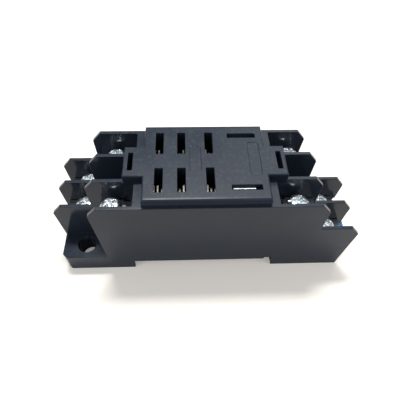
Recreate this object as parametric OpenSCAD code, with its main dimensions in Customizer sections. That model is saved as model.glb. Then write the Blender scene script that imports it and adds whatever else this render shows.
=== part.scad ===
// Two-tier screw-terminal socket for a small plug-in power relay.
// It clips onto a 35 mm rail or is held by two screws through its ears.
// X runs along the socket, Y across it and Z up. The origin is midway between the two
// fixing holes, on the mounting plane. The two ends are alike under a half turn about Z.

/* [Housing] */
// Length of the upper tier, from the relay seat's deck to the walls' tips
upper_tier = 11; // [10.6:0.1:12]
// How far the lower tier reaches past the upper one
lower_tier = 9.5; // [9.2:0.1:11]
// Width over the outer walls
body_w = 22.6; // [22:0.2:25]
// Height of the lower walls
lower_h = 17.6; // [17:0.2:19]
// Height of the upper walls
upper_h = 27; // [26:0.25:29]
// Thickness of the four long walls
wall_t = 0.9; // [0.7:0.05:1.1]
// How much shorter the upper wall above an ear is
ear_wall_back = 1.5; // [1:0.1:1.8]
// Length of the slanted cut at a wall's top corner
tip_run = 2.05; // [1:0.25:3]
// Height of the slanted cut at a wall's top corner
tip_drop = 2.45; // [1:0.25:3.5]
// How far a wall's end leans in by its foot
foot_lean = 0.9; // [0.4:0.1:1.4]
// Height of the cut at the inner walls' feet, over the latch's finger tab
foot_cut = 9.5; // [7:0.5:11]
// Height of the floor in the empty middle bays of the upper tier
pocket_floor = 14; // [13.2:0.2:16]
// Thickness of the floors that carry the terminals
floor_t = 1.4; // [1:0.1:1.8]
// Thickness of the end walls below the terminals
end_t = 1.2; // [0.8:0.1:1.6]

/* [Relay seat] */
// Length of the raised relay seat
seat_l = 27; // [26:0.25:28.5]
// Width of the raised relay seat
seat_w = 21.5; // [20:0.1:21.8]
// Height of the seat above the upper walls
seat_rise = 2; // [1.25:0.25:3]
// Radius along the seat's edges
seat_r = 0.45; // [0.3:0.05:0.9]
// Radius along the clip tabs' edges
tab_r = 0.35; // [0.2:0.05:0.6]
// Thickness of the seat over the contact cells
seat_skin = 2.4; // [1.6:0.1:3]
// Length of the deck between the seat and the terminal bays
deck_l = 2; // [1.6:0.1:2.4]
// How far the clip tabs reach over the bays
tab_l = 2.3; // [2:0.1:2.6]
// Width of the clip tabs
tab_w = 8.5; // [8.3:0.1:9.5]
// Width of the slot for the retaining clip
clip_slot_w = 1.05; // [0.6:0.05:1.2]
// Length of the slot for the retaining clip
clip_slot_l = 4.95; // [4:0.05:5.4]
// Distance of the retaining clip's slots from a tab's end
clip_slot_in = 1.5; // [1.2:0.05:1.6]
// Depth of the retaining clip's slots
clip_slot_h = 7; // [5:0.5:9]
// Depth of the fields left bare for a marking
field_h = 0.15; // [0.1:0.05:0.3]

/* [Blade slots] */
// Place of the first pair of contact slots along the socket
slot_x1 = -10.05; // [-10.3:0.05:-9.9]
// Place of the second pair of contact slots
slot_x2 = -5.2; // [-5.4:0.05:-5]
// Place of the third pair of contact slots
slot_x3 = 0.95; // [0.8:0.05:1.1]
// Distance of the contact slots from the middle line
slot_y = 5.25; // [5.1:0.05:5.5]
// Width of a contact slot
slot_w = 1.75; // [1.5:0.05:1.9]
// Length of a contact slot
slot_l = 6.4; // [5.6:0.1:6.8]
// Place of the coil slots along the socket
coil_x = 8.5; // [8.3:0.05:8.7]
// Distance of the coil slots from the middle line
coil_y = 7.45; // [7.3:0.05:7.6]
// Width of a coil slot
coil_slot_w = 1.3; // [1.1:0.05:1.5]
// Length of a coil slot
coil_slot_l = 6.4; // [5.6:0.1:6.8]

/* [Terminals] */
// Distance of the upper screws from the inner end of their bays
upper_screw_in = 5.3; // [5:0.05:5.5]
// Distance of the lower screws from the upper walls' tips
lower_screw_in = 2.8; // [2.7:0.05:3.4]
// Height of the upper terminal plates' top face
upper_plate_z = 20; // [19.5:0.1:20.5]
// Height of the lower terminal plates' top face
lower_plate_z = 10.6; // [10.4:0.1:11]
// Thickness of the terminal strip
strip_t = 0.8; // [0.6:0.05:1]
// Width of the strip between the plate and the contact
strip_w = 3.4; // [2.8:0.1:3.6]
// Thickness of the contact springs
spring_t = 0.35; // [0.25:0.05:0.4]
// Width of the contact springs
spring_w = 3.5; // [3:0.1:3.6]
// Width of the coil contact springs
coil_spring_w = 4.7; // [4:0.1:5]
// Gap between the springs' grip points
grip_gap = 0.3; // [0.2:0.05:0.4]
// Height of the flare above the springs' grip points
flare_h = 1.5; // [1:0.1:2]
// How much shorter the second leaf of a contact spring is
leaf_step = 1.1; // [0.4:0.1:1.3]
// Depth of the contact springs' mouths below the roof of their cells
mouth_in = 1.8; // [0.4:0.1:2]

/* [Screws] */
// Diameter of the screws' shank
screw_d = 3; // [2.6:0.05:3.2]
// Length of the screws under the head
screw_l = 6; // [5:0.25:6.5]
// Diameter of the screws' head
head_d = 4.9; // [4.6:0.1:5.4]
// Height of the screws' head
head_h = 2.5; // [2.2:0.1:2.8]
// Width of the driver slot
drive_w = 0.75; // [0.6:0.05:0.9]
// Depth of the driver slot
drive_depth = 1; // [0.7:0.05:1.2]
// Thickness of the clamp plates
clamp_t = 1; // [0.8:0.05:1.2]
// Length of the clamp plates along the socket
clamp_l = 6; // [5.6:0.1:6.2]

/* [Fixing] */
// Diameter of the fixing holes
fixing_d = 4.5; // [4.2:0.1:4.6]
// Distance between the fixing holes along the socket
fixing_l = 59; // [58.5:0.25:60]
// Distance between the fixing holes across the socket
fixing_w = 15; // [14.8:0.1:15.6]
// Thickness of the ears
ear_t = 5.9; // [5.5:0.1:6.5]
// Distance of the ears' ends from the walls' tips
ear_back = 0.8; // [0.6:0.1:1.2]
// Size of the cut at an ear's outer corner
ear_cut = 1.15; // [0.5:0.05:1.8]
// Width of the rail that the socket clips onto
rail_w = 35; // [34.6:0.1:35.4]
// Depth of the rail recess
recess_h = 3.3; // [3.1:0.1:3.6]
// Thickness of the bottom cover over the rail
cover_t = 1.8; // [1.4:0.1:2]

/* [Latch] */
// Width of the latch
latch_w = 7.8; // [7:0.1:8]
// Width of the latch's nose and rib
latch_rib_w = 5.6; // [4.6:0.1:5.8]
// Thickness of the latch's plate
latch_t = 2; // [1.7:0.05:2.1]
// How far the latch's finger tab stands out past the walls' tips
finger_l = 2.8; // [2:0.1:4]
// How far the nose and the fixed hook reach under the rail
hook_reach = 1.3; // [1:0.1:1.5]
// Travel of the latch
latch_travel = 2.5; // [1.8:0.1:2.8]

/* [Clearances] */
// Gap round pieces that are pushed into the housing
fit = 0.1; // [0.05:0.05:0.15]
// Gap beside the clamp plates in their bays
clamp_gap = 0.2; // [0.15:0.05:0.3]
// Radial gap of a screw in its thread
thread_gap = 0.05; // [0.02:0.01:0.08]
// Radial gap of a screw in its clamp plate
clamp_hole_gap = 0.2; // [0.1:0.05:0.25]
// Radial gap of a screw in the floor under its terminal
floor_hole_gap = 0.3; // [0.25:0.05:0.35]
// Gap round a contact spring in its cell and slot
cell_gap = 0.1; // [0.05:0.05:0.2]
// Gap between the rail and each side of its recess
rail_gap = 0.25; // [0.15:0.05:0.3]

/* [Hidden] */
$fn = 48;
over = 1;                                   // how far a cut runs past a face

// Wall lines and bays
half_w = body_w / 2;
bay_inner = seat_l / 2 + deck_l;            // inner end of the terminal bays
tab_reach = bay_inner + tab_l;
clip_slot_x = tab_reach - clip_slot_in;
upper_reach = bay_inner + upper_tier;
ear_wall_reach = upper_reach - ear_wall_back;
tip_x = upper_reach + lower_tier;
ear_reach = tip_x - ear_back;
latch_reach = tip_x + finger_l;
upper_screw_x = bay_inner + upper_screw_in;
lower_screw_x = upper_reach + lower_screw_in;
foot_x = tip_x - foot_lean;
lane = (body_w - wall_t) / 3;               // pitch of the walls, and of the bays between them
bay_w = lane - wall_t;
inner_half = half_w - wall_t;               // inside of the outer walls
notch_x = upper_reach - 0.1;                // where the upper wall's end meets the lower wall's top
ear_wall_foot = ear_wall_reach - 0.95;      // where the wall above an ear meets the ear
seat_z = upper_h + seat_rise;
upper_floor = upper_plate_z - strip_t;
lower_floor = lower_plate_z - strip_t;
block_x = foot_x - 0.5;                     // end of the lower block inside its bay
upper_end = upper_reach - wall_t;           // end of the upper block inside its bay
ear_end = ear_wall_foot - 0.2;              // end of the upper block above an ear

// Rail recess, bottom cover and latch
recess_x = rail_w / 2 + rail_gap;
riser_x = recess_x + 1.6;                   // outer face of the cover's risers
cover_top = recess_h + cover_t;
cover_half = inner_half - fit;
cover_end_x = block_x - end_t - fit;
lane_half = bay_w / 2 - fit;                // the cover's end plates reach this far past the middle line
rib_t = 1.6;                                // ribs on the cover, and their pitch
rib_pitch_x = (rail_w - 5) / 4;
rib_pitch_y = cover_half - 0.8;
latch_z = 1.4;                              // underside of the latch's plate
latch_top = latch_z + latch_t;
latch_gap = 0.15;                           // running gap round the latch
nose_z = 0.5;                               // underside of the nose and of the fixed hook
hook_top = recess_h - 1.2;                  // leaves room for the rail's 1 mm flange
latch_roof = latch_top + latch_gap + 1.2;   // top of the cover over the latch
arm_x = 22;                                 // root of the latch's spring arms
arm_y = latch_w / 2 + 1.7;                  // inner face of the spring arms
arm_t = 0.8;
arm_l = 2.4;
arm_far = arm_y + arm_t + 0.45;             // outer side of the room for the arms
arm_far_x = arm_x + 1 + latch_travel + 0.3; // its outer end
finger_z = 0.3;                             // underside of the finger tab

// Contact cells under the seat
cell_top = seat_z - seat_skin;
cell_floor = upper_floor - floor_t;
cell_w = 4.5;                               // along the socket
cell_l = slot_l + 1.4;                      // across it
coil_cell_l = coil_slot_l + 1.8;            // along the socket
coil_cell_w = 3.7;                          // across it
riser_gap = 1.15;                           // from a contact's centre to its strip's riser
contact_z = upper_plate_z;                  // the contacts stand on the strips at this height
contact_top = cell_top - mouth_in;
coil_spring_x = coil_x - 0.45;              // the coil contacts stand a little off their slots' middle
coil_leaf_top = seat_z - 0.9;               // their inner leaves stand up inside the slots

// Terminals: which end, whether in the upper tier, and which bay (1 back, 0 middle, -1 front)
POSTS = [[-1, 1, 1], [-1, 1, -1], [-1, 0, 1], [-1, 0, 0], [1, 1, 1], [1, 1, -1], [1, 0, 0], [1, 0, -1]];
// The contact that each terminal feeds
CONTACTS = [[slot_x1, slot_y], [slot_x1, -slot_y], [slot_x2, slot_y], [slot_x2, -slot_y],
    [coil_spring_x, coil_y], [coil_spring_x, -coil_y], [slot_x3, slot_y], [slot_x3, -slot_y]];
// Which leaf of each contact is the taller one
TALL = [-1, -1, 1, 1, -1, 1, -1, -1];
// How far each screw's slot is turned
TURNS = [35, 52, 20, 68, 140, 15, 110, 75];

function is_upper(i) = POSTS[i][1] == 1;
function is_coil(i) = CONTACTS[i][0] == coil_spring_x;
function post_x(i) = POSTS[i][0] * (is_upper(i) ? upper_screw_x : lower_screw_x);
function post_y(i) = POSTS[i][2] * lane;
function plate_z(i) = is_upper(i) ? upper_plate_z : lower_plate_z;
function over_ear(i) = is_upper(i) && POSTS[i][0] == POSTS[i][2];
function upper_top(bay) = bay == 0 ? pocket_floor : upper_floor;
function flip(points) = [for (i = [len(points) - 1:-1:0]) [-points[i][0], points[i][1]]];

// A box from its low and high corners
module span(low, high) translate(low) cube(high - low);

// An outline in X and Z, drawn through from y0 to y1
module through(y0, y1) translate([0, y1, 0]) rotate([90, 0, 0]) linear_extrude(y1 - y0) children();

// ---- Housing ----

// Right-hand end of a long wall: two stepped tips, or one above an ear
function wall_end(ear) = ear
    ? [[ear_wall_foot, 0], [ear_wall_foot, ear_t], [ear_wall_reach, upper_h - tip_drop],
        [ear_wall_reach - tip_run, upper_h]]
    : [[foot_x, 0], [tip_x, lower_h - tip_drop], [tip_x - tip_run, lower_h], [notch_x, lower_h],
        [upper_reach, upper_h - tip_drop], [upper_reach - tip_run, upper_h]];

// Right-hand end of the block between two walls, whose upper tier is top high
function block_end(ear, top) = ear
    ? [[ear_end, 0], [ear_end, top]]
    : [[block_x, 0], [block_x, lower_floor], [upper_end, lower_floor], [upper_end, top]];

// Right-hand end of the hollow in that block, open at the bottom
function hollow_end(ear, top) = ear
    ? [[riser_x + fit, -over], [riser_x + fit, ear_t], [ear_end - end_t, ear_t],
        [ear_end - end_t, top - floor_t]]
    : [[block_x - end_t, -over], [block_x - end_t, lower_floor - floor_t],
        [upper_end - end_t, lower_floor - floor_t], [upper_end - end_t, top - floor_t]];

module long_walls() {
    for (bay = [-1.5:1:1.5])
        through(bay * lane - wall_t / 2, bay * lane + wall_t / 2)
            polygon(concat(wall_end(bay > 1), flip(wall_end(bay < -1))));
}

module blocks() {
    for (bay = [-1:1])
        through(bay * lane - bay_w / 2 - 0.01, bay * lane + bay_w / 2 + 0.01)
            polygon(concat(block_end(bay == 1, upper_top(bay)),
                flip(block_end(bay == -1, upper_top(bay)))));
    span([-bay_inner, -half_w, 0], [bay_inner, half_w, upper_h]);
}

module hollows() {
    for (bay = [-1:1])
        through(bay * lane - bay_w / 2, bay * lane + bay_w / 2)
            polygon(concat(hollow_end(bay == 1, upper_top(bay)),
                flip(hollow_end(bay == -1, upper_top(bay)))));
    span([end_t - bay_inner, -inner_half, -over], [bay_inner - end_t, inner_half, cell_floor]);
}

// The two ears, each with a cut outer corner
module ears() {
    for (turn = [0, 180])
        rotate([0, 0, turn])
            linear_extrude(ear_t)
                polygon([[recess_x, half_w], [recess_x, lane / 2], [ear_reach, lane / 2],
                    [ear_reach, half_w - ear_cut], [ear_reach - ear_cut, half_w]]);
}

// The right half of a bar's cross-section whose top edge is rounded, down to its bottom
function rounded_top(reach, bottom, top, r) = concat([[reach, bottom]],
    [for (a = [0:15:90]) [reach - r + r * cos(a), top - r + r * sin(a)]]);

// A block whose top edges are rounded, reaching x and y each way from the middle
module rounded_slab(x, y, bottom, top, r) {
    along = rounded_top(x, bottom, top, r);
    across = rounded_top(y, bottom, top, r);
    intersection() {
        through(-y, y) polygon(concat(along, flip(along)));
        rotate([0, 0, 90]) through(-x, x) polygon(concat(across, flip(across)));
    }
}

// The raised seat, and a tab at each end for the retaining clip
module relay_seat() {
    rounded_slab(seat_l / 2, seat_w / 2, upper_h - over, seat_z, seat_r);
    difference() {
        rounded_slab(tab_reach, tab_w / 2, upper_h - over, seat_z, tab_r);
        span([seat_r - seat_l / 2, -tab_w, 0], [seat_l / 2 - seat_r, tab_w, seat_z + over]);
    }
    span([-tab_reach, -lane / 2, pocket_floor - over], [tab_reach, lane / 2, upper_h]);
}

// Slots for the relay's blades and for the clip, and the shallow fields that a marking would fill
module seat_cuts() {
    for (x = [slot_x1, slot_x2, slot_x3], y = [-slot_y, slot_y])
        span([x - slot_w / 2, y - slot_l / 2, cell_top - over],
            [x + slot_w / 2, y + slot_l / 2, seat_z + over]);
    for (y = [-coil_y, coil_y])
        span([coil_x - coil_slot_l / 2, y - coil_slot_w / 2, cell_top - over],
            [coil_x + coil_slot_l / 2, y + coil_slot_w / 2, seat_z + over]);
    for (x = [-clip_slot_x, clip_slot_x])
        span([x - clip_slot_w / 2, -clip_slot_l / 2, seat_z - clip_slot_h],
            [x + clip_slot_w / 2, clip_slot_l / 2, seat_z + over]);
    marking_field([(slot_x2 + slot_x3) / 2, 0.6], [2.5, 7.2], field_h);
    marking_field([coil_x + 2.4, 0.5], [2.5, 9.6], field_h);
}

module marking_field(centre, size, depth) {
    corner = 0.6;
    translate([centre[0], centre[1], seat_z - depth])
        linear_extrude(depth + over) {
            square([size[0], size[1] - 2 * corner], center = true);
            square([size[0] - 2 * corner, size[1]], center = true);
            for (x = [-1, 1], y = [-1, 1])
                translate([x * (size[0] / 2 - corner), y * (size[1] / 2 - corner)]) circle(corner);
        }
}

// One cell under each slot, open at the bottom, where a contact stands
module contact_cells() {
    for (x = [slot_x1, slot_x2, slot_x3], y = [-slot_y, slot_y])
        span([x - cell_w / 2, y - cell_l / 2, cell_floor - over], [x + cell_w / 2, y + cell_l / 2, cell_top]);
    for (y = [-coil_y, coil_y])
        span([coil_x - coil_cell_l / 2, y - coil_cell_w / 2, cell_floor - over],
            [coil_x + coil_cell_l / 2, y + coil_cell_w / 2, cell_top]);
}

// Where a strip passes through the wall behind its bay, and its screw through the floor
module strip_ways() {
    for (i = [0:7]) {
        slit_low = plate_z(i) - strip_t;
        slit_high = plate_z(i) + fit;
        if (is_upper(i)) {
            cell_edge = is_coil(i) ? coil_x + coil_cell_l / 2 - fit : abs(CONTACTS[i][0]) + cell_w / 2 - fit;
            way_low = min(abs(CONTACTS[i][1]) - strip_w / 2, lane - bay_w / 2) - fit;
            mirror([POSTS[i][0] < 0 ? 1 : 0, 0, 0])
                mirror([0, POSTS[i][2] < 0 ? 1 : 0, 0])
                    span([cell_edge, way_low, slit_low], [bay_inner + fit, inner_half, slit_high]);
        } else {
            span([min(POSTS[i][0] * (upper_end - end_t - fit), POSTS[i][0] * (upper_end + fit)),
                    post_y(i) - strip_w / 2 - fit, slit_low],
                [max(POSTS[i][0] * (upper_end - end_t - fit), POSTS[i][0] * (upper_end + fit)),
                    post_y(i) + strip_w / 2 + fit, slit_high]);
        }
        translate([post_x(i), post_y(i), slit_low - floor_t - over])
            cylinder(d = screw_d + 2 * floor_hole_gap, h = floor_t + 2 * over);
    }
}

// The rail recess, with its small relief above the latch's side
module rail_recess() {
    span([-recess_x, -half_w - over, -over], [recess_x, half_w + over, recess_h]);
    span([recess_x - 2.2, -half_w - over, recess_h - over], [recess_x, half_w + over, recess_h + 0.7]);
}

// The slanted relief at the foot of the two inner walls, over the finger tab
module finger_relief() {
    through(-lane / 2 - wall_t / 2, lane / 2 + wall_t / 2)
        polygon([[block_x, -over], [tip_x + over, -over], [tip_x + over, foot_cut],
            [foot_x + 0.2, foot_cut], [block_x, latch_top + 1]]);
}

// The hollow in the underside of each ear, between the boss round its hole and the rail
module ear_hollows() {
    boss_r = fixing_d / 2 + floor_t;
    for (turn = [0, 180])
        rotate([0, 0, turn])
            span([riser_x + fit + end_t, lane / 2 + end_t, -over],
                [fixing_l / 2 - boss_r, half_w - end_t, ear_t - floor_t]);
}

module housing() {
    color([0.10, 0.10, 0.11])
        difference() {
            union() {
                long_walls();
                blocks();
                ears();
                relay_seat();
            }
            hollows();
            contact_cells();
            seat_cuts();
            strip_ways();
            rail_recess();
            cover_shape(fit);
            latch_way();
            finger_relief();
            ear_hollows();
            for (side = [-1, 1])
                translate([side * fixing_l / 2, side * fixing_w / 2, -over])
                    cylinder(d = fixing_d, h = ear_t + 2 * over);
        }
}

// ---- Bottom cover ----

// The cover's outer shape, or with grow the room that the housing leaves for it
module cover_shape(grow) {
    side = cover_half + grow;
    end_high = cover_t + grow;
    rail_low = recess_h - (grow > 0 ? over : 0);
    low = grow > 0 ? -over : 0;
    span([-riser_x - grow, -side, rail_low], [riser_x + grow, side, cover_top + grow]);
    span([-cover_end_x - grow, -lane_half - grow, low], [-recess_x, side, end_high]);
    span([-riser_x - grow, -lane_half - grow, low], [-recess_x, side, cover_top + grow]);
    span([recess_x, -side, low], [cover_end_x + grow, lane_half + grow, end_high]);
    span([recess_x, -arm_far - 1 - grow, low], [arm_far_x + 1 + grow, lane_half + grow, latch_roof + grow]);
    span([recess_x, -latch_w / 2 - 1.3 - grow, low],
        [cover_end_x + grow, lane_half + grow, latch_roof + grow]);
}

module bottom_cover() {
    color([0.13, 0.13, 0.14]) {
        difference() {
            cover_shape(0);
            latch_way();
            // on this side the housing's own ledge carries the latch
            span([recess_x - over, 0, -over], [cover_end_x + over, lane_half + over, latch_z]);
            // shallow pockets between stiffening ribs over the rail
            for (column = [-1.5:1:1.5], row = [-1, 1])
                translate([column * rib_pitch_x, row * rib_pitch_y / 2, cover_top - cover_t / 2])
                    linear_extrude(cover_t)
                        square([rib_pitch_x - rib_t, rib_pitch_y - rib_t], center = true);
        }
        // fixed hook on the side away from the latch
        through(-latch_rib_w / 2, latch_rib_w / 2)
            polygon([[-recess_x - 0.2, nose_z], [-recess_x + hook_reach - 0.6, nose_z],
                [-recess_x + hook_reach, nose_z + 0.6], [-recess_x + hook_reach, hook_top],
                [-recess_x - 0.2, hook_top]]);
    }
}

// ---- Latch ----

// The way that the latch and its arms run in, cut from the cover and the housing
module latch_way() {
    half = latch_w / 2 + latch_gap;
    rib_half = latch_rib_w / 2 + latch_gap;
    high = latch_top + latch_gap;
    low = latch_z - latch_gap;
    span([recess_x - over, -half, low], [tip_x + 3, half, high]);
    span([recess_x - over, -rib_half, -over], [tip_x + 3, rib_half, high]);
    span([cover_end_x - 1, -half, -over], [tip_x + 3, half, high]);
    span([arm_x - 0.3, -arm_far, low], [arm_far_x, arm_far, high]);
    for (y = [-arm_far, arm_y - 0.4])
        span([arm_x - arm_l - 0.3, y, -over], [arm_far_x, y + arm_t + 0.85, high]);
}

module din_latch() {
    nose_x = recess_x - hook_reach;
    color([0.10, 0.38, 0.74]) {
        // nose under the rail, with its slanted lead-in
        through(-latch_rib_w / 2, latch_rib_w / 2)
            polygon([[nose_x, nose_z + 0.7], [nose_x + 0.7, nose_z], [recess_x + 1, nose_z],
                [recess_x + 1, hook_top], [nose_x, hook_top]]);
        difference() {
            union() {
                span([recess_x + 0.3, -latch_w / 2, latch_z], [latch_reach, latch_w / 2, latch_top]);
                span([recess_x + 0.3, -latch_rib_w / 2, nose_z],
                    [cover_end_x - 4, latch_rib_w / 2, latch_z + 0.1]);
                span([tip_x - 0.4, -latch_w / 2, finger_z], [latch_reach, latch_w / 2, latch_z + 0.1]);
            }
            // screwdriver slot in the plate, just inside the finger tab
            span([tip_x - 0.2, -1.6, finger_z - over], [tip_x + 0.9, 1.6, latch_top + over]);
            // long lightening slot
            span([arm_x + 2.5, -1.2, finger_z - over], [cover_end_x - 3, 1.2, latch_top + over]);
        }
        for (side = [-1, 1])
            scale([1, side, 1]) {
                span([arm_x, latch_w / 2 - 0.2, latch_z], [arm_x + 1, arm_y + arm_t, latch_top]);
                span([arm_x - arm_l, arm_y, latch_z], [arm_x + 0.2, arm_y + arm_t, latch_top]);
                translate([arm_x - arm_l + 0.5, arm_y + arm_t - 0.3, latch_z]) cylinder(r = 0.5, h = latch_t);
            }
    }
}

// ---- Terminals ----

// One strip: the plate under the screw, and its way to the contact
module terminal(i) {
    end = POSTS[i][0];
    z = plate_z(i);
    contact = CONTACTS[i];
    outer = over_ear(i) ? ear_end - 0.15 : is_upper(i) ? upper_end - 0.3 : block_x - 0.3;
    y = post_y(i);
    color([0.78, 0.79, 0.80])
        difference() {
            if (is_upper(i)) {
                pad_end = contact[0] - end * (is_coil(i) ? coil_spring_w / 2 : 1.4);
                between_x(end * (bay_inner - 1), end * outer, y, bay_w - 2 * clamp_gap, z - strip_t, z);
                between_x(end * (bay_inner - fit), pad_end, contact[1], strip_w, z - strip_t, z);
            } else {
                riser = contact[0] + end * (riser_gap + strip_t);
                inner = upper_end + fit;
                between_x(end * inner, end * outer, y, bay_w - 2 * clamp_gap, z - strip_t, z);
                between_x(end * (inner + 0.05), riser - end * strip_w / 2, y, strip_w, z - strip_t, z);
                span([riser - strip_w / 2, min(y, contact[1]) - strip_w / 2, z - strip_t],
                    [riser + strip_w / 2, max(y, contact[1]) + strip_w / 2, z]);
                between_x(riser - end * strip_t, riser, contact[1], strip_w, z - strip_t, contact_z);
                between_x(contact[0] - end * 1.1, riser, contact[1], strip_w,
                    contact_z - strip_t, contact_z);
            }
            translate([post_x(i), y, z - strip_t - over])
                cylinder(d = screw_d + 2 * thread_gap, h = strip_t + 2 * over);
        }
}

// A box whose ends along X may come in either order
module between_x(x0, x1, y, width, z0, z1) {
    span([min(x0, x1), y - width / 2, z0], [max(x0, x1), y + width / 2, z1]);
}

// One leaf of a contact: up from the foot, in to the grip point and out again to its mouth
function leaf(foot, mouth, grip_z, top) = let (grip = grip_gap / 2, bend_z = contact_z + 1.4)
    [[foot, contact_z], [foot, bend_z], [grip + spring_t, grip_z], [mouth, top],
        [mouth - spring_t, top], [grip, grip_z], [foot - spring_t, bend_z],
        [foot - spring_t, contact_z + spring_t]];

// One spring contact: a folded U whose two leaves pinch together and flare open at the top
module contact(i) {
    coil = is_coil(i);
    width = coil ? coil_spring_w : spring_w;
    foot = coil ? coil_slot_w / 2 + 0.25 : slot_w / 2 + 0.1;
    mouth = coil ? coil_slot_w / 2 - cell_gap : slot_w / 2 - 0.25;
    grip_z = contact_top - flare_h;
    // a coil contact's tall leaf stands up into its slot and bends out just below the seat
    tall = coil ? leaf(foot, mouth, coil_leaf_top - 0.7, coil_leaf_top)
        : leaf(foot, mouth, grip_z, contact_top);
    short = leaf(foot, mouth, grip_z, contact_top - leaf_step);
    color([0.86, 0.80, 0.62])
        translate([CONTACTS[i][0], CONTACTS[i][1], 0])
            rotate([0, 0, coil ? 90 : 0])
                mirror([TALL[i] < 0 ? 1 : 0, 0, 0])
                    through(-width / 2, width / 2)
                        polygon(concat(tall, flip(short)));
}

// ---- Clamps and screws ----

// One captive clamp plate, with its corners cut and a raised ring under the screw's head
module clamp_plate(i) {
    wide = bay_w - 2 * clamp_gap;
    cut = 0.8;
    ring = 0.25;
    color([0.80, 0.81, 0.82])
        translate([post_x(i), post_y(i), plate_z(i)])
            difference() {
                union() {
                    linear_extrude(clamp_t - ring)
                        polygon([[clamp_l / 2, wide / 2 - cut], [clamp_l / 2 - cut, wide / 2],
                            [cut - clamp_l / 2, wide / 2], [-clamp_l / 2, wide / 2 - cut],
                            [-clamp_l / 2, cut - wide / 2], [cut - clamp_l / 2, -wide / 2],
                            [clamp_l / 2 - cut, -wide / 2], [clamp_l / 2, cut - wide / 2]]);
                    cylinder(d = head_d - 0.6, h = clamp_t);
                }
                translate([0, 0, -over]) cylinder(d = screw_d + 2 * clamp_hole_gap, h = clamp_t + 2 * over);
                // wire grooves under the plate, on both sides of the screw
                for (side = [-1, 1])
                    translate([0, side * (screw_d / 2 + 0.65), 0])
                        rotate([0, 90, 0])
                            cylinder(r = 0.35, h = clamp_l + 2 * over, center = true, $fn = 24);
            }
}

// One pan-head screw, for a blade or a cross driver
module terminal_screw(i) {
    r = head_d / 2;
    rim = head_h * 0.4;
    crown = (r * r + pow(head_h - rim, 2)) / (2 * (head_h - rim));     // radius of the domed top
    color([0.85, 0.86, 0.88])
        translate([post_x(i), post_y(i), plate_z(i) + clamp_t])
            rotate([0, 0, TURNS[i]])
                difference() {
                    union() {
                        intersection() {
                            cylinder(r = r, h = head_h);
                            translate([0, 0, head_h - crown]) sphere(r = crown, $fn = 96);
                        }
                        translate([0, 0, -screw_l + 0.6]) cylinder(d = screw_d, h = screw_l);
                        translate([0, 0, -screw_l]) cylinder(d1 = screw_d - 1, d2 = screw_d, h = 0.6);
                    }
                    translate([-head_d, -drive_w / 2, head_h - drive_depth])
                        cube([2 * head_d, drive_w, drive_depth + over]);
                    translate([-drive_w / 2, -head_d * 0.3, head_h - drive_depth - 0.3])
                        cube([drive_w, head_d * 0.6, drive_depth + over]);
                    translate([0, 0, head_h - drive_depth - 0.5])
                        cylinder(d1 = drive_w * 0.8, d2 = drive_w * 2, h = drive_depth + 0.6, $fn = 24);
                }
}

housing();
bottom_cover();
din_latch();
terminal(0);  // terminal_left_top_back
terminal(1);  // terminal_left_top_front
terminal(2);  // terminal_left_low_back
terminal(3);  // terminal_left_low_mid
terminal(4);  // terminal_right_top_back
terminal(5);  // terminal_right_top_front
terminal(6);  // terminal_right_low_mid
terminal(7);  // terminal_right_low_front
contact(0);  // contact_left_top_back
contact(1);  // contact_left_top_front
contact(2);  // contact_left_low_back
contact(3);  // contact_left_low_mid
contact(4);  // contact_right_top_back
contact(5);  // contact_right_top_front
contact(6);  // contact_right_low_mid
contact(7);  // contact_right_low_front
clamp_plate(0);  // clamp_left_top_back
clamp_plate(1);  // clamp_left_top_front
clamp_plate(2);  // clamp_left_low_back
clamp_plate(3);  // clamp_left_low_mid
clamp_plate(4);  // clamp_right_top_back
clamp_plate(5);  // clamp_right_top_front
clamp_plate(6);  // clamp_right_low_mid
clamp_plate(7);  // clamp_right_low_front
terminal_screw(0);  // screw_left_top_back
terminal_screw(1);  // screw_left_top_front
terminal_screw(2);  // screw_left_low_back
terminal_screw(3);  // screw_left_low_mid
terminal_screw(4);  // screw_right_top_back
terminal_screw(5);  // screw_right_top_front
terminal_screw(6);  // screw_right_low_mid
terminal_screw(7);  // screw_right_low_front
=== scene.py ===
from math import cos, pi, radians, sin

import bmesh
import bpy
from mathutils import Matrix, Vector


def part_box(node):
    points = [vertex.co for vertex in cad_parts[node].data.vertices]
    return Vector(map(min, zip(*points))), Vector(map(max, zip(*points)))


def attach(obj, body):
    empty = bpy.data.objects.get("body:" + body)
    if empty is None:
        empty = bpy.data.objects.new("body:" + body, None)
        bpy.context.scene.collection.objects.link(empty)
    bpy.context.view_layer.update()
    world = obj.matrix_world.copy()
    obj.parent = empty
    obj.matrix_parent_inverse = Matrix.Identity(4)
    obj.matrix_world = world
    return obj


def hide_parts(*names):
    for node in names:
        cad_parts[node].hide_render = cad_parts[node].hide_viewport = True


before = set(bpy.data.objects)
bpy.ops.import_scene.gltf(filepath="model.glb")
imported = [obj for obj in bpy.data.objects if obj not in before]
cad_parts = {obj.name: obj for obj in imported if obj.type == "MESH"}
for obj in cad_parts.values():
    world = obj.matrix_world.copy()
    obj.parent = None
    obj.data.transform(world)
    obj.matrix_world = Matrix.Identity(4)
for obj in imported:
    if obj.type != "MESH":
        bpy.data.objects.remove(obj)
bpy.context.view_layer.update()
scene = bpy.context.scene
mm = 0.001

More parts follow.
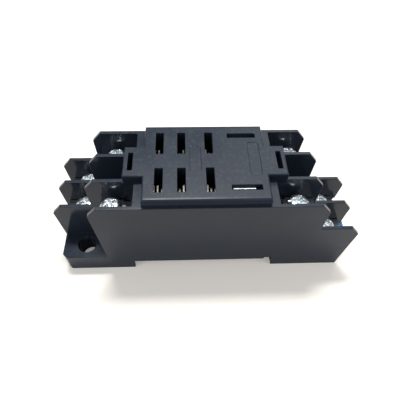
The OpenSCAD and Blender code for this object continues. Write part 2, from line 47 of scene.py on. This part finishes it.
# ---- Camera ----
# A hand-held view from in front and well above, a few degrees round to the left
# and very slightly tilted, with a phone's short lens.
camera_data = bpy.data.cameras.new("camera")
camera_data.lens = 33.49            # on a 36 mm wide sensor
camera_data.sensor_width = 36
camera_data.clip_start = 1 * mm
camera = bpy.data.objects.new("camera", camera_data)
scene.collection.objects.link(camera)
aim = Vector((-0.7, 1.4, 12)) * mm
azimuth = radians(3.83)
elevation = radians(54.86)
roll = radians(2.27)
distance = 95.75 * mm
level = cos(elevation)
away = Vector((-sin(azimuth) * level, -cos(azimuth) * level, sin(elevation)))
turn = away.to_track_quat("Z", "Y").to_matrix() @ Matrix.Rotation(roll, 3, "Z")
camera.matrix_world = Matrix.Translation(aim + away * distance) @ turn.to_4x4()
scene.camera = camera
scene.view_settings.view_transform = "Standard"

# ---- Table and light ----
# A white table top under a lamp nearly overhead and a little behind, long from side to
# side, with weak lamps behind and at both ends. The table keeps the socket's shadow.
table_mesh = bpy.data.meshes.new("table_top")
table_half = 0.9
corners = [(x * table_half, y * table_half, 0) for x, y in ((-1, -1), (1, -1), (1, 1), (-1, 1))]
table_mesh.from_pydata(corners, [], [(0, 1, 2, 3)])
table = bpy.data.objects.new("table_top", table_mesh)
scene.collection.objects.link(table)
table_paper = bpy.data.materials.new("white_table")
table_paper.use_nodes = True
paper = table_paper.node_tree
paper_shader = paper.nodes["Principled BSDF"]
paper_shader.inputs["Base Color"].default_value = (0.96, 0.90, 0.83, 1)
paper_shader.inputs["Roughness"].default_value = 0.75
paper_grain = paper.nodes.new("ShaderNodeTexNoise")
paper_grain.inputs["Scale"].default_value = 900
paper_place = paper.nodes.new("ShaderNodeTexCoord")
paper.links.new(paper_place.outputs["Object"], paper_grain.inputs["Vector"])
paper_bump = paper.nodes.new("ShaderNodeBump")
paper_bump.inputs["Strength"].default_value = 0.06
paper_bump.inputs["Distance"].default_value = 0.2 * mm
paper.links.new(paper_grain.outputs["Fac"], paper_bump.inputs["Height"])
paper.links.new(paper_bump.outputs["Normal"], paper_shader.inputs["Normal"])
# the camera alone sees the table a little lighter, so that it reads as white
paper_lift = paper.nodes.new("ShaderNodeEmission")
paper_lift.inputs["Color"].default_value = (1.0, 0.95, 0.88, 1)
paper_lift.inputs["Strength"].default_value = 0.23
paper_path = paper.nodes.new("ShaderNodeLightPath")
paper_seen = paper.nodes.new("ShaderNodeMixShader")
paper_sum = paper.nodes.new("ShaderNodeAddShader")
paper.links.new(paper_shader.outputs["BSDF"], paper_sum.inputs[0])
paper.links.new(paper_lift.outputs["Emission"], paper_sum.inputs[1])
paper.links.new(paper_path.outputs["Is Camera Ray"], paper_seen.inputs["Fac"])
paper.links.new(paper_shader.outputs["BSDF"], paper_seen.inputs[1])
paper.links.new(paper_sum.outputs["Shader"], paper_seen.inputs[2])
paper_out = paper.nodes["Material Output"]
paper.links.new(paper_seen.outputs["Shader"], paper_out.inputs["Surface"])
table_mesh.materials.append(table_paper)

world = bpy.data.worlds.new("white_room")
world.use_nodes = True
scene.world = world
room = world.node_tree
room_light = room.nodes["Background"]
room_light.inputs["Color"].default_value = (0.86, 0.93, 1.0, 1)
room_light.inputs["Strength"].default_value = 0.34
room_seen = room.nodes.new("ShaderNodeBackground")
room_seen.inputs["Color"].default_value = (1, 1, 1, 1)
room_path = room.nodes.new("ShaderNodeLightPath")
room_mix = room.nodes.new("ShaderNodeMixShader")
room.links.new(room_path.outputs["Is Camera Ray"], room_mix.inputs["Fac"])
room.links.new(room_light.outputs["Background"], room_mix.inputs[1])
room.links.new(room_seen.outputs["Background"], room_mix.inputs[2])
room.links.new(room_mix.outputs["Shader"], room.nodes["World Output"].inputs["Surface"])


def soft_lamp(name, place, width, depth, power):
    """An oval lamp aimed at the socket's middle; place and size in metres, power in watts."""
    lamp_data = bpy.data.lights.new(name, "AREA")
    lamp_data.shape = "ELLIPSE"
    lamp_data.size = width
    lamp_data.size_y = depth
    lamp_data.energy = power
    lamp = bpy.data.objects.new(name, lamp_data)
    scene.collection.objects.link(lamp)
    beam = Vector(place) - Vector((0, 0, 10 * mm))
    facing = beam.to_track_quat("Z", "Y").to_matrix().to_4x4()
    lamp.matrix_world = Matrix.Translation(place) @ facing


soft_lamp("lamp_over", (-0.02, 0.109, 0.363), 0.14, 0.05, 1.05)
soft_lamp("lamp_back", (0.15, 0.30, 0.34), 0.20, 0.20, 0.25)
soft_lamp("lamp_left", (-0.30, -0.16, 0.22), 0.16, 0.16, 0.24)
soft_lamp("lamp_right", (0.30, -0.12, 0.20), 0.14, 0.14, 0.22)

# ---- Housing ----
# One black moulding in filled nylon: polished inside its bays, finely spark-eroded on
# the outside and on the seat, patchily lighter on its top faces (part scuffs and part
# painted sheen), with its edges just broken.


def link_new(name, mesh):
    piece = bpy.data.objects.new(name, mesh)
    scene.collection.objects.link(piece)
    return piece


def roll_off(solid, start, radius):
    """Lets the top face curve down towards both long sides, from start outwards."""
    cuts = 6
    cut_pitch = 0.1 * mm
    edge_depth = 0.46 * mm              # the top face's rounding lies above this
    top = max(vertex.co.z for vertex in solid.verts)
    for line in [side * (start + cut * cut_pitch) for side in (-1, 1) for cut in range(cuts)]:
        flats = [face for face in solid.faces
                 if face.normal.z > 0.99 and face.calc_center_median().z > top - 0.02 * mm]
        parts = set(flats)
        for face in flats:
            parts.update(face.edges)
            parts.update(face.verts)
        bmesh.ops.bisect_plane(
            solid, geom=list(parts), plane_co=(0, line, 0), plane_no=(0, 1, 0)
        )
    for vertex in solid.verts:
        past = abs(vertex.co.y) - start
        if past > 0 and vertex.co.z > top - edge_depth:
            vertex.co.z -= past * past / (2 * radius)


def broken_edges(node, width, name, roll=None):
    """A copy of a construction solid with its sharp edges rounded by width.

    roll, a start and a radius, curves its top face down towards the long sides.
    """
    solid = bmesh.new()
    solid.from_mesh(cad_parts[node].data)
    bmesh.ops.remove_doubles(solid, verts=solid.verts, dist=1e-6)
    bmesh.ops.dissolve_limit(
        solid, angle_limit=radians(0.5), verts=solid.verts, edges=solid.edges
    )
    if roll:
        roll_off(solid, *roll)
    mesh = bpy.data.meshes.new(name + "_sharp")
    solid.to_mesh(mesh)
    solid.free()
    mesh.materials.clear()
    piece = link_new(name, mesh)
    edge = piece.modifiers.new("broken_edge", "BEVEL")
    edge.width = width
    edge.segments = 2
    edge.limit_method = "ANGLE"
    edge.angle_limit = radians(35)
    edge.use_clamp_overlap = False
    edge.miter_outer = "MITER_ARC"
    flats = piece.modifiers.new("flat_faces", "WEIGHTED_NORMAL")
    flats.weight = 60
    flats.keep_sharp = True
    mesh.shade_smooth()
    evaluated = piece.evaluated_get(bpy.context.evaluated_depsgraph_get())
    rounded = bpy.data.meshes.new_from_object(evaluated)
    piece.modifiers.clear()
    piece.data = rounded
    rounded.name = name
    # a corner that the bevel threw off the solid goes back to its surface
    for vertex in rounded.vertices:
        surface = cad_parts[node].closest_point_on_mesh(vertex.co)[1]
        if (vertex.co - surface).length > width:
            vertex.co = surface
    return piece


def new_finish(name):
    finish = bpy.data.materials.new(name)
    finish.use_nodes = True
    return finish, finish.node_tree, finish.node_tree.nodes["Principled BSDF"]


def noise(tree, scale, detail=3.0, stretch=(1, 1, 1)):
    """Noise on the piece's own coordinates, in metres."""
    place = tree.nodes.new("ShaderNodeTexCoord")
    spread = tree.nodes.new("ShaderNodeMapping")
    spread.inputs["Scale"].default_value = stretch
    field = tree.nodes.new("ShaderNodeTexNoise")
    field.inputs["Scale"].default_value = scale
    field.inputs["Detail"].default_value = detail
    tree.links.new(place.outputs["Object"], spread.inputs["Vector"])
    tree.links.new(spread.outputs["Vector"], field.inputs["Vector"])
    return field.outputs["Fac"]


def ranged(tree, value, low, high, out_low, out_high):
    change = tree.nodes.new("ShaderNodeMapRange")
    change.inputs["From Min"].default_value = low
    change.inputs["From Max"].default_value = high
    change.inputs["To Min"].default_value = out_low
    change.inputs["To Max"].default_value = out_high
    tree.links.new(value, change.inputs["Value"])
    return change.outputs["Result"]


def worked(tree, operation, first, second=0.0, third=0.0):
    """A maths node on numbers or on other nodes' outputs."""
    step = tree.nodes.new("ShaderNodeMath")
    step.operation = operation
    for socket, value in zip(step.inputs, (first, second, third)):
        if isinstance(value, (int, float)):
            socket.default_value = value
        else:
            tree.links.new(value, socket)
    return step.outputs[0]


def tinted(tree, factor, dark, light):
    ramp = tree.nodes.new("ShaderNodeMix")
    ramp.data_type = "RGBA"
    ramp.inputs["A"].default_value = (*dark, 1)
    ramp.inputs["B"].default_value = (*light, 1)
    tree.links.new(factor, ramp.inputs["Factor"])
    return ramp.outputs["Result"]


def bumped(tree, shader, height, strength, distance):
    bump = tree.nodes.new("ShaderNodeBump")
    bump.inputs["Strength"].default_value = strength
    bump.inputs["Distance"].default_value = distance
    tree.links.new(height, bump.inputs["Height"])
    tree.links.new(bump.outputs["Normal"], shader.inputs["Normal"])


housing_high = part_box("housing")[1]
moulding, tree, shader = new_finish("black_moulding")
place = tree.nodes.new("ShaderNodeTexCoord")
axes = tree.nodes.new("ShaderNodeSeparateXYZ")
tree.links.new(place.outputs["Object"], axes.inputs["Vector"])
facing = tree.nodes.new("ShaderNodeSeparateXYZ")
tree.links.new(place.outputs["Normal"], facing.inputs["Vector"])
across = worked(tree, "ABSOLUTE", axes.outputs["Y"], 0)
outside = ranged(tree, across, housing_high.y - 0.12 * mm, housing_high.y - 0.04 * mm, 0, 1)
upward = ranged(tree, facing.outputs["Z"], 0.972, 0.984, 0, 1)
on_walls = ranged(tree, axes.outputs["Z"], 16.8 * mm, 17 * mm, 0.35, 0.75)
seat_from = housing_high.z - 0.25 * mm
on_seat = ranged(tree, axes.outputs["Z"], seat_from, seat_from + 0.05 * mm, 0, 0.25)
top_faces = worked(tree, "MULTIPLY", upward, worked(tree, "ADD", on_walls, on_seat))
eroded = worked(tree, "MAXIMUM", outside, top_faces)
cloud = noise(tree, 220, 4)
grain = worked(tree, "MULTIPLY", noise(tree, 8000, 2), 0.25)
polish = ranged(tree, cloud, 0.3, 0.7, 0.08, 0.17)
rough_face = ranged(tree, cloud, 0.3, 0.7, 0.32, 0.41)
rough_mix = tree.nodes.new("ShaderNodeMix")
tree.links.new(eroded, rough_mix.inputs["Factor"])
tree.links.new(polish, rough_mix.inputs["A"])
tree.links.new(rough_face, rough_mix.inputs["B"])
tree.links.new(rough_mix.outputs["Result"], shader.inputs["Roughness"])
# lighter patches of colour on the upward top faces: part scuffs, part painted sheen
scuff_and_painted_sheen_mask = ranged(tree, noise(tree, 1100, 6), 0.50, 0.68, 0, 1)
scuff_and_painted_sheen_colour = tree.nodes.new("ShaderNodeMix")
scuff_and_painted_sheen_colour.data_type = "RGBA"
scuff_and_painted_sheen_colour.inputs["B"].default_value = (0.036, 0.047, 0.054, 1)
tree.links.new(worked(tree, "MULTIPLY", scuff_and_painted_sheen_mask, top_faces), scuff_and_painted_sheen_colour.inputs["Factor"])
body = tinted(tree, cloud, (0.018, 0.0245, 0.038), (0.026, 0.035, 0.052))
tree.links.new(body, scuff_and_painted_sheen_colour.inputs["A"])
tree.links.new(scuff_and_painted_sheen_colour.outputs["Result"], shader.inputs["Base Color"])
bumped(tree, shader, worked(tree, "MULTIPLY", grain, eroded), 1.0, 0.03 * mm)
shader.inputs["Specular IOR Level"].default_value = 0.28

# the band just under the seat's edge hardly shines
flank = moulding.copy()
flank.name = "black_moulding_flank"
flank.node_tree.nodes["Principled BSDF"].inputs["Specular IOR Level"].default_value = 0.03

seat_roll = (9.75 * mm, 3.5 * mm)
housing = broken_edges("housing", 0.1 * mm, "housing_moulding", seat_roll)
housing.data.materials.append(moulding)
housing.data.materials.append(flank)
band_side, band_end, band_depth = 10.4 * mm, 13.2 * mm, 1.98 * mm
for face in housing.data.polygons:
    round_seat = abs(face.center.y) > band_side or abs(face.center.x) > band_end
    high_up = face.center.z > housing_high.z - band_depth
    if high_up and round_seat and abs(face.normal.z) < 0.5:
        face.material_index = 1
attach(housing, "socket")
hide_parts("housing")

# ---- Bottom cover ----
# A plain black plate pressed into the underside, with the fixed hook for the rail.
cover_finish, tree, shader = new_finish("cover_moulding")
body = tinted(tree, noise(tree, 300), (0.018, 0.018, 0.020), (0.030, 0.030, 0.032))
tree.links.new(body, shader.inputs["Base Color"])
tree.links.new(ranged(tree, noise(tree, 900), 0.3, 0.7, 0.45, 0.6), shader.inputs["Roughness"])
bumped(tree, shader, noise(tree, 4200, 2), 0.2, 0.03 * mm)
cover = broken_edges("bottom_cover", 0.1 * mm, "bottom_cover_plate")
cover.data.materials.append(cover_finish)
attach(cover, "socket")
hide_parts("bottom_cover")

# ---- Rail latch ----
# A blue acetal slider: slightly waxy, with the finger tab's edges worn smooth.
latch_finish, tree, shader = new_finish("blue_acetal")
body = tinted(tree, noise(tree, 260), (0.006, 0.12, 0.34), (0.010, 0.155, 0.42))
tree.links.new(body, shader.inputs["Base Color"])
tree.links.new(ranged(tree, noise(tree, 700), 0.3, 0.7, 0.24, 0.36), shader.inputs["Roughness"])
bumped(tree, shader, noise(tree, 3600, 2), 0.12, 0.03 * mm)
latch = broken_edges("din_latch", 0.12 * mm, "latch_slider")
latch.data.materials.append(latch_finish)
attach(latch, "latch")
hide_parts("din_latch")

# ---- Terminal strips ----
# Pressed brass, tin plated: a dull white metal with faint rolling lines along it.
strips = [node for node in sorted(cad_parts) if node.startswith("terminal_")]
posts = [strip.removeprefix("terminal_") for strip in strips]


def plated(name, dark, light, rough_low, rough_high, line_stretch):
    """A plated metal whose fine lines run along the axis with the smallest stretch."""
    finish, tree, shader = new_finish(name)
    shader.inputs["Metallic"].default_value = 1
    lines = noise(tree, 2600, 3, line_stretch)
    tree.links.new(tinted(tree, noise(tree, 420, 4), dark, light), shader.inputs["Base Color"])
    tree.links.new(ranged(tree, lines, 0.3, 0.7, rough_low, rough_high), shader.inputs["Roughness"])
    bumped(tree, shader, lines, 0.15, 0.02 * mm)
    return finish


def dress(node, finish):
    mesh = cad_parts[node].data
    mesh.materials.clear()
    mesh.materials.append(finish)


tin = plated("tin_plate", (0.62, 0.61, 0.58), (0.74, 0.73, 0.70), 0.24, 0.38, (0.12, 1, 1))
for post in posts:
    dress("terminal_" + post, tin)

# ---- Contact springs ----
# Folded leaves under the slots: dull phosphor bronze for the blades, and bright
# silver plate under the two coil slots.
upright = (1, 1, 0.12)
bronze = plated("spring_bronze", (0.20, 0.185, 0.16), (0.34, 0.32, 0.28), 0.22, 0.36, upright)
silvered = plated("silver_plate", (0.84, 0.85, 0.86), (0.94, 0.95, 0.96), 0.34, 0.50, upright)
for post in posts:
    for_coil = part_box("contact_" + post)[0].x > 5 * mm
    dress("contact_" + post, silvered if for_coil else bronze)

# ---- Clamp plates ----
# Small captive steel plates under the heads, stamped and zinc plated.
zinc = plated("zinc_plate", (0.66, 0.68, 0.70), (0.82, 0.83, 0.84), 0.20, 0.34, (1, 1, 1))
for post in posts:
    plate = broken_edges("clamp_" + post, 0.12 * mm, "clamp_plate_" + post)
    plate.data.materials.append(zinc)
    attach(plate, "clamp_" + post + "_body")
    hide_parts("clamp_" + post)

# ---- Terminal screws ----
# Zinc-plated steel pan heads with a cross recess and a slot right across, on a
# machine thread. Each is one revolved skin, with the recess sunk into its crown.
bright_zinc = plated("bright_zinc", (0.78, 0.84, 0.87), (0.92, 0.95, 0.96), 0.20, 0.40, (1, 1, 1))


def screw_tree():
    """Nodes that revolve a pan head and a threaded shank, and sink the driver recess."""
    tree = bpy.data.node_groups.new("terminal_screw", "GeometryNodeTree")
    face = tree.interface
    face.new_socket("Geometry", in_out="INPUT", socket_type="NodeSocketGeometry")
    face.new_socket("Geometry", in_out="OUTPUT", socket_type="NodeSocketGeometry")
    for name in ("Head Radius", "Head Height", "Shoulder", "Dome", "Shank Radius", "Shank Length",
                 "Slot Width", "Slot Depth", "Cross Reach", "Pitch", "Turn"):
        face.new_socket(name, in_out="INPUT", socket_type="NodeSocketFloat")
    face.new_socket("Seat", in_out="INPUT", socket_type="NodeSocketVector")
    face.new_socket("Finish", in_out="INPUT", socket_type="NodeSocketMaterial")
    given = tree.nodes.new("NodeGroupInput").outputs
    result = tree.nodes.new("NodeGroupOutput")

    def calc(*terms):
        return worked(tree, *terms)

    def soft_step(value, edge, blur):
        """1 below the edge, 0 above it, with a rounded shoulder."""
        step = tree.nodes.new("ShaderNodeMapRange")
        step.interpolation_type = "SMOOTHSTEP"
        tree.links.new(value, step.inputs["Value"])
        tree.links.new(calc("SUBTRACT", edge, blur), step.inputs["From Min"])
        tree.links.new(calc("ADD", edge, blur), step.inputs["From Max"])
        step.inputs["To Min"].default_value = 1
        step.inputs["To Max"].default_value = 0
        return step.outputs["Result"]

    def skin(around, along):
        """A sheet whose two ways run round the axis and along the outline."""
        sheet = tree.nodes.new("GeometryNodeMeshGrid")
        sheet.inputs["Size X"].default_value = 1
        sheet.inputs["Size Y"].default_value = 1
        sheet.inputs["Vertices X"].default_value = around
        sheet.inputs["Vertices Y"].default_value = along
        spot = tree.nodes.new("ShaderNodeSeparateXYZ")
        where = tree.nodes.new("GeometryNodeInputPosition")
        tree.links.new(where.outputs["Position"], spot.inputs["Vector"])
        angle = calc("MULTIPLY", calc("ADD", spot.outputs["X"], 0.5), -2 * pi)
        return sheet, angle, calc("ADD", spot.outputs["Y"], 0.5)

    def wrap(sheet, angle, radius, height):
        place = tree.nodes.new("ShaderNodeCombineXYZ")
        tree.links.new(calc("MULTIPLY", radius, calc("COSINE", angle)), place.inputs["X"])
        tree.links.new(calc("MULTIPLY", radius, calc("SINE", angle)), place.inputs["Y"])
        tree.links.new(height, place.inputs["Z"])
        moved = tree.nodes.new("GeometryNodeSetPosition")
        tree.links.new(sheet.outputs["Mesh"], moved.inputs["Geometry"])
        tree.links.new(place.outputs["Vector"], moved.inputs["Position"])
        closed = tree.nodes.new("GeometryNodeMergeByDistance")
        closed.inputs["Distance"].default_value = 1e-6
        tree.links.new(moved.outputs["Geometry"], closed.inputs["Geometry"])
        return closed.outputs["Geometry"]

    # head: crown and rounded shoulder take most of the outline, then the rim and the underside
    sheet, angle, along = skin(121, 90)
    flat_share = 0.45
    rim_start = 0.8
    under_start = 0.9
    steep = 10.0                        # one over the outline's share of rim or underside
    shoulder_share = rim_start - flat_share
    swing = calc("DIVIDE", calc("MAXIMUM", calc("SUBTRACT", along, flat_share), 0.0), shoulder_share)
    swing = calc("MULTIPLY", calc("MINIMUM", swing, 1.0), pi / 2)
    side = calc("MAXIMUM", calc("MULTIPLY", calc("SUBTRACT", along, rim_start), steep), 0.0)
    side = calc("MINIMUM", side, 1.0)
    under = calc("MAXIMUM", calc("MULTIPLY", calc("SUBTRACT", along, under_start), steep), 0.0)
    flat = calc("MULTIPLY", calc("MINIMUM", calc("DIVIDE", along, flat_share), 1.0),
                calc("SUBTRACT", given["Head Radius"], given["Shoulder"]))
    radius = calc("MULTIPLY_ADD", calc("SINE", swing), given["Shoulder"], flat)
    fallen = calc("MULTIPLY", calc("SUBTRACT", 1.0, calc("COSINE", swing)), given["Shoulder"])
    outward = calc("DIVIDE", radius, given["Head Radius"])
    domed = calc("MULTIPLY", calc("POWER", outward, 2.0), given["Dome"])
    height = calc("SUBTRACT", calc("SUBTRACT", given["Head Height"], fallen), domed)
    height = calc("MULTIPLY", height, calc("SUBTRACT", 1.0, side))
    inward = calc("SUBTRACT", given["Shank Radius"], given["Head Radius"])
    radius = calc("MULTIPLY_ADD", under, inward, radius)
    turned = calc("ADD", angle, given["Turn"])
    along_slot = calc("ABSOLUTE", calc("MULTIPLY", radius, calc("COSINE", turned)))
    across_slot = calc("ABSOLUTE", calc("MULTIPLY", radius, calc("SINE", turned)))
    half_slot = calc("MULTIPLY", given["Slot Width"], 0.5)
    shoulder = calc("MULTIPLY", given["Slot Width"], 0.16)
    slot_field = soft_step(across_slot, half_slot, shoulder)
    cross_field = calc(
        "MULTIPLY",
        soft_step(along_slot, half_slot, shoulder),
        soft_step(across_slot, given["Cross Reach"], calc("MULTIPLY", shoulder, 2.5)),
    )
    well_field = soft_step(radius, calc("MULTIPLY", given["Slot Width"], 0.95), shoulder)
    slot_floor = calc("SUBTRACT", given["Head Height"], given["Slot Depth"])
    sunk = calc("MAXIMUM", slot_field, calc("MAXIMUM", cross_field, well_field))
    extra = calc("MULTIPLY", given["Slot Depth"], 0.35)
    deeper = calc("MULTIPLY", calc("MAXIMUM", cross_field, well_field), extra)
    drop = calc("MAXIMUM", calc("SUBTRACT", height, calc("SUBTRACT", slot_floor, deeper)), 0.0)
    on_top = calc("LESS_THAN", along, rim_start + 0.01)
    height = calc("SUBTRACT", height, calc("MULTIPLY", drop, calc("MULTIPLY", sunk, on_top)))
    head = wrap(sheet, angle, radius, height)

    # shank: a helical ridge, closed by a short point
    sheet, angle, along = skin(49, 130)
    depth = calc("MULTIPLY", along, given["Shank Length"])
    phase = calc("ADD", calc("DIVIDE", depth, given["Pitch"]), calc("DIVIDE", angle, 2 * pi))
    ridge = calc("ABSOLUTE", calc("SUBTRACT", calc("FRACT", phase), 0.5))
    point_start = 0.93
    lead = calc("MULTIPLY", calc("MAXIMUM", calc("SUBTRACT", along, point_start), 0.0), 8.0)
    thread = calc("MULTIPLY", ridge, calc("MULTIPLY", given["Pitch"], 0.9))
    radius = calc("SUBTRACT", given["Shank Radius"], thread)
    radius = calc("MULTIPLY", radius, calc("SUBTRACT", 1.0, lead))
    last = calc("LESS_THAN", along, 0.9999)
    shank = wrap(sheet, angle, calc("MULTIPLY", radius, last), calc("MULTIPLY", depth, -1.0))

    both = tree.nodes.new("GeometryNodeJoinGeometry")
    tree.links.new(head, both.inputs["Geometry"])
    tree.links.new(shank, both.inputs["Geometry"])
    seated = tree.nodes.new("GeometryNodeTransform")
    tree.links.new(both.outputs["Geometry"], seated.inputs["Geometry"])
    tree.links.new(given["Seat"], seated.inputs["Translation"])
    real = tree.nodes.new("GeometryNodeRealizeInstances")
    tree.links.new(seated.outputs["Geometry"], real.inputs["Geometry"])
    finished = tree.nodes.new("GeometryNodeSetMaterial")
    tree.links.new(real.outputs["Geometry"], finished.inputs["Geometry"])
    tree.links.new(given["Finish"], finished.inputs["Material"])
    tree.links.new(finished.outputs["Geometry"], result.inputs["Geometry"])
    return tree


screw_nodes = screw_tree()
# where each recess came to rest, in degrees, in the order of posts
screw_turns = dict(zip(posts, (20, 68, 35, 52, 75, 110, 140, 15)))
for post in posts:
    low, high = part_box("screw_" + post)
    seat_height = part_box("clamp_" + post)[1].z
    screw = link_new("terminal_screw_" + post, bpy.data.meshes.new("terminal_screw_" + post))
    maker = screw.modifiers.new("screw", "NODES")
    maker.node_group = screw_nodes
    sizes = {
        "Head Radius": (high.x - low.x) / 2,
        "Head Height": high.z - seat_height,
        "Shoulder": 1.15 * mm,
        "Dome": 0.25 * mm,
        "Shank Radius": 1.5 * mm,
        "Shank Length": seat_height - low.z,
        "Slot Width": 0.7 * mm,
        "Slot Depth": 1.0 * mm,
        "Cross Reach": 1.35 * mm,
        "Pitch": 0.5 * mm,
        "Turn": radians(screw_turns[post]),
        "Seat": ((low.x + high.x) / 2, (low.y + high.y) / 2, seat_height),
        "Finish": bright_zinc,
    }
    for item in screw_nodes.interface.items_tree:
        if item.name in sizes:
            maker[item.identifier] = sizes[item.name]
    evaluated = screw.evaluated_get(bpy.context.evaluated_depsgraph_get())
    solid = bpy.data.meshes.new_from_object(evaluated)
    screw.modifiers.remove(maker)
    screw.data = solid
    solid.shade_smooth()
    solid.set_sharp_from_angle(angle=radians(50))
    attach(screw, "screw_" + post + "_body")
    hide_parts("screw_" + post)
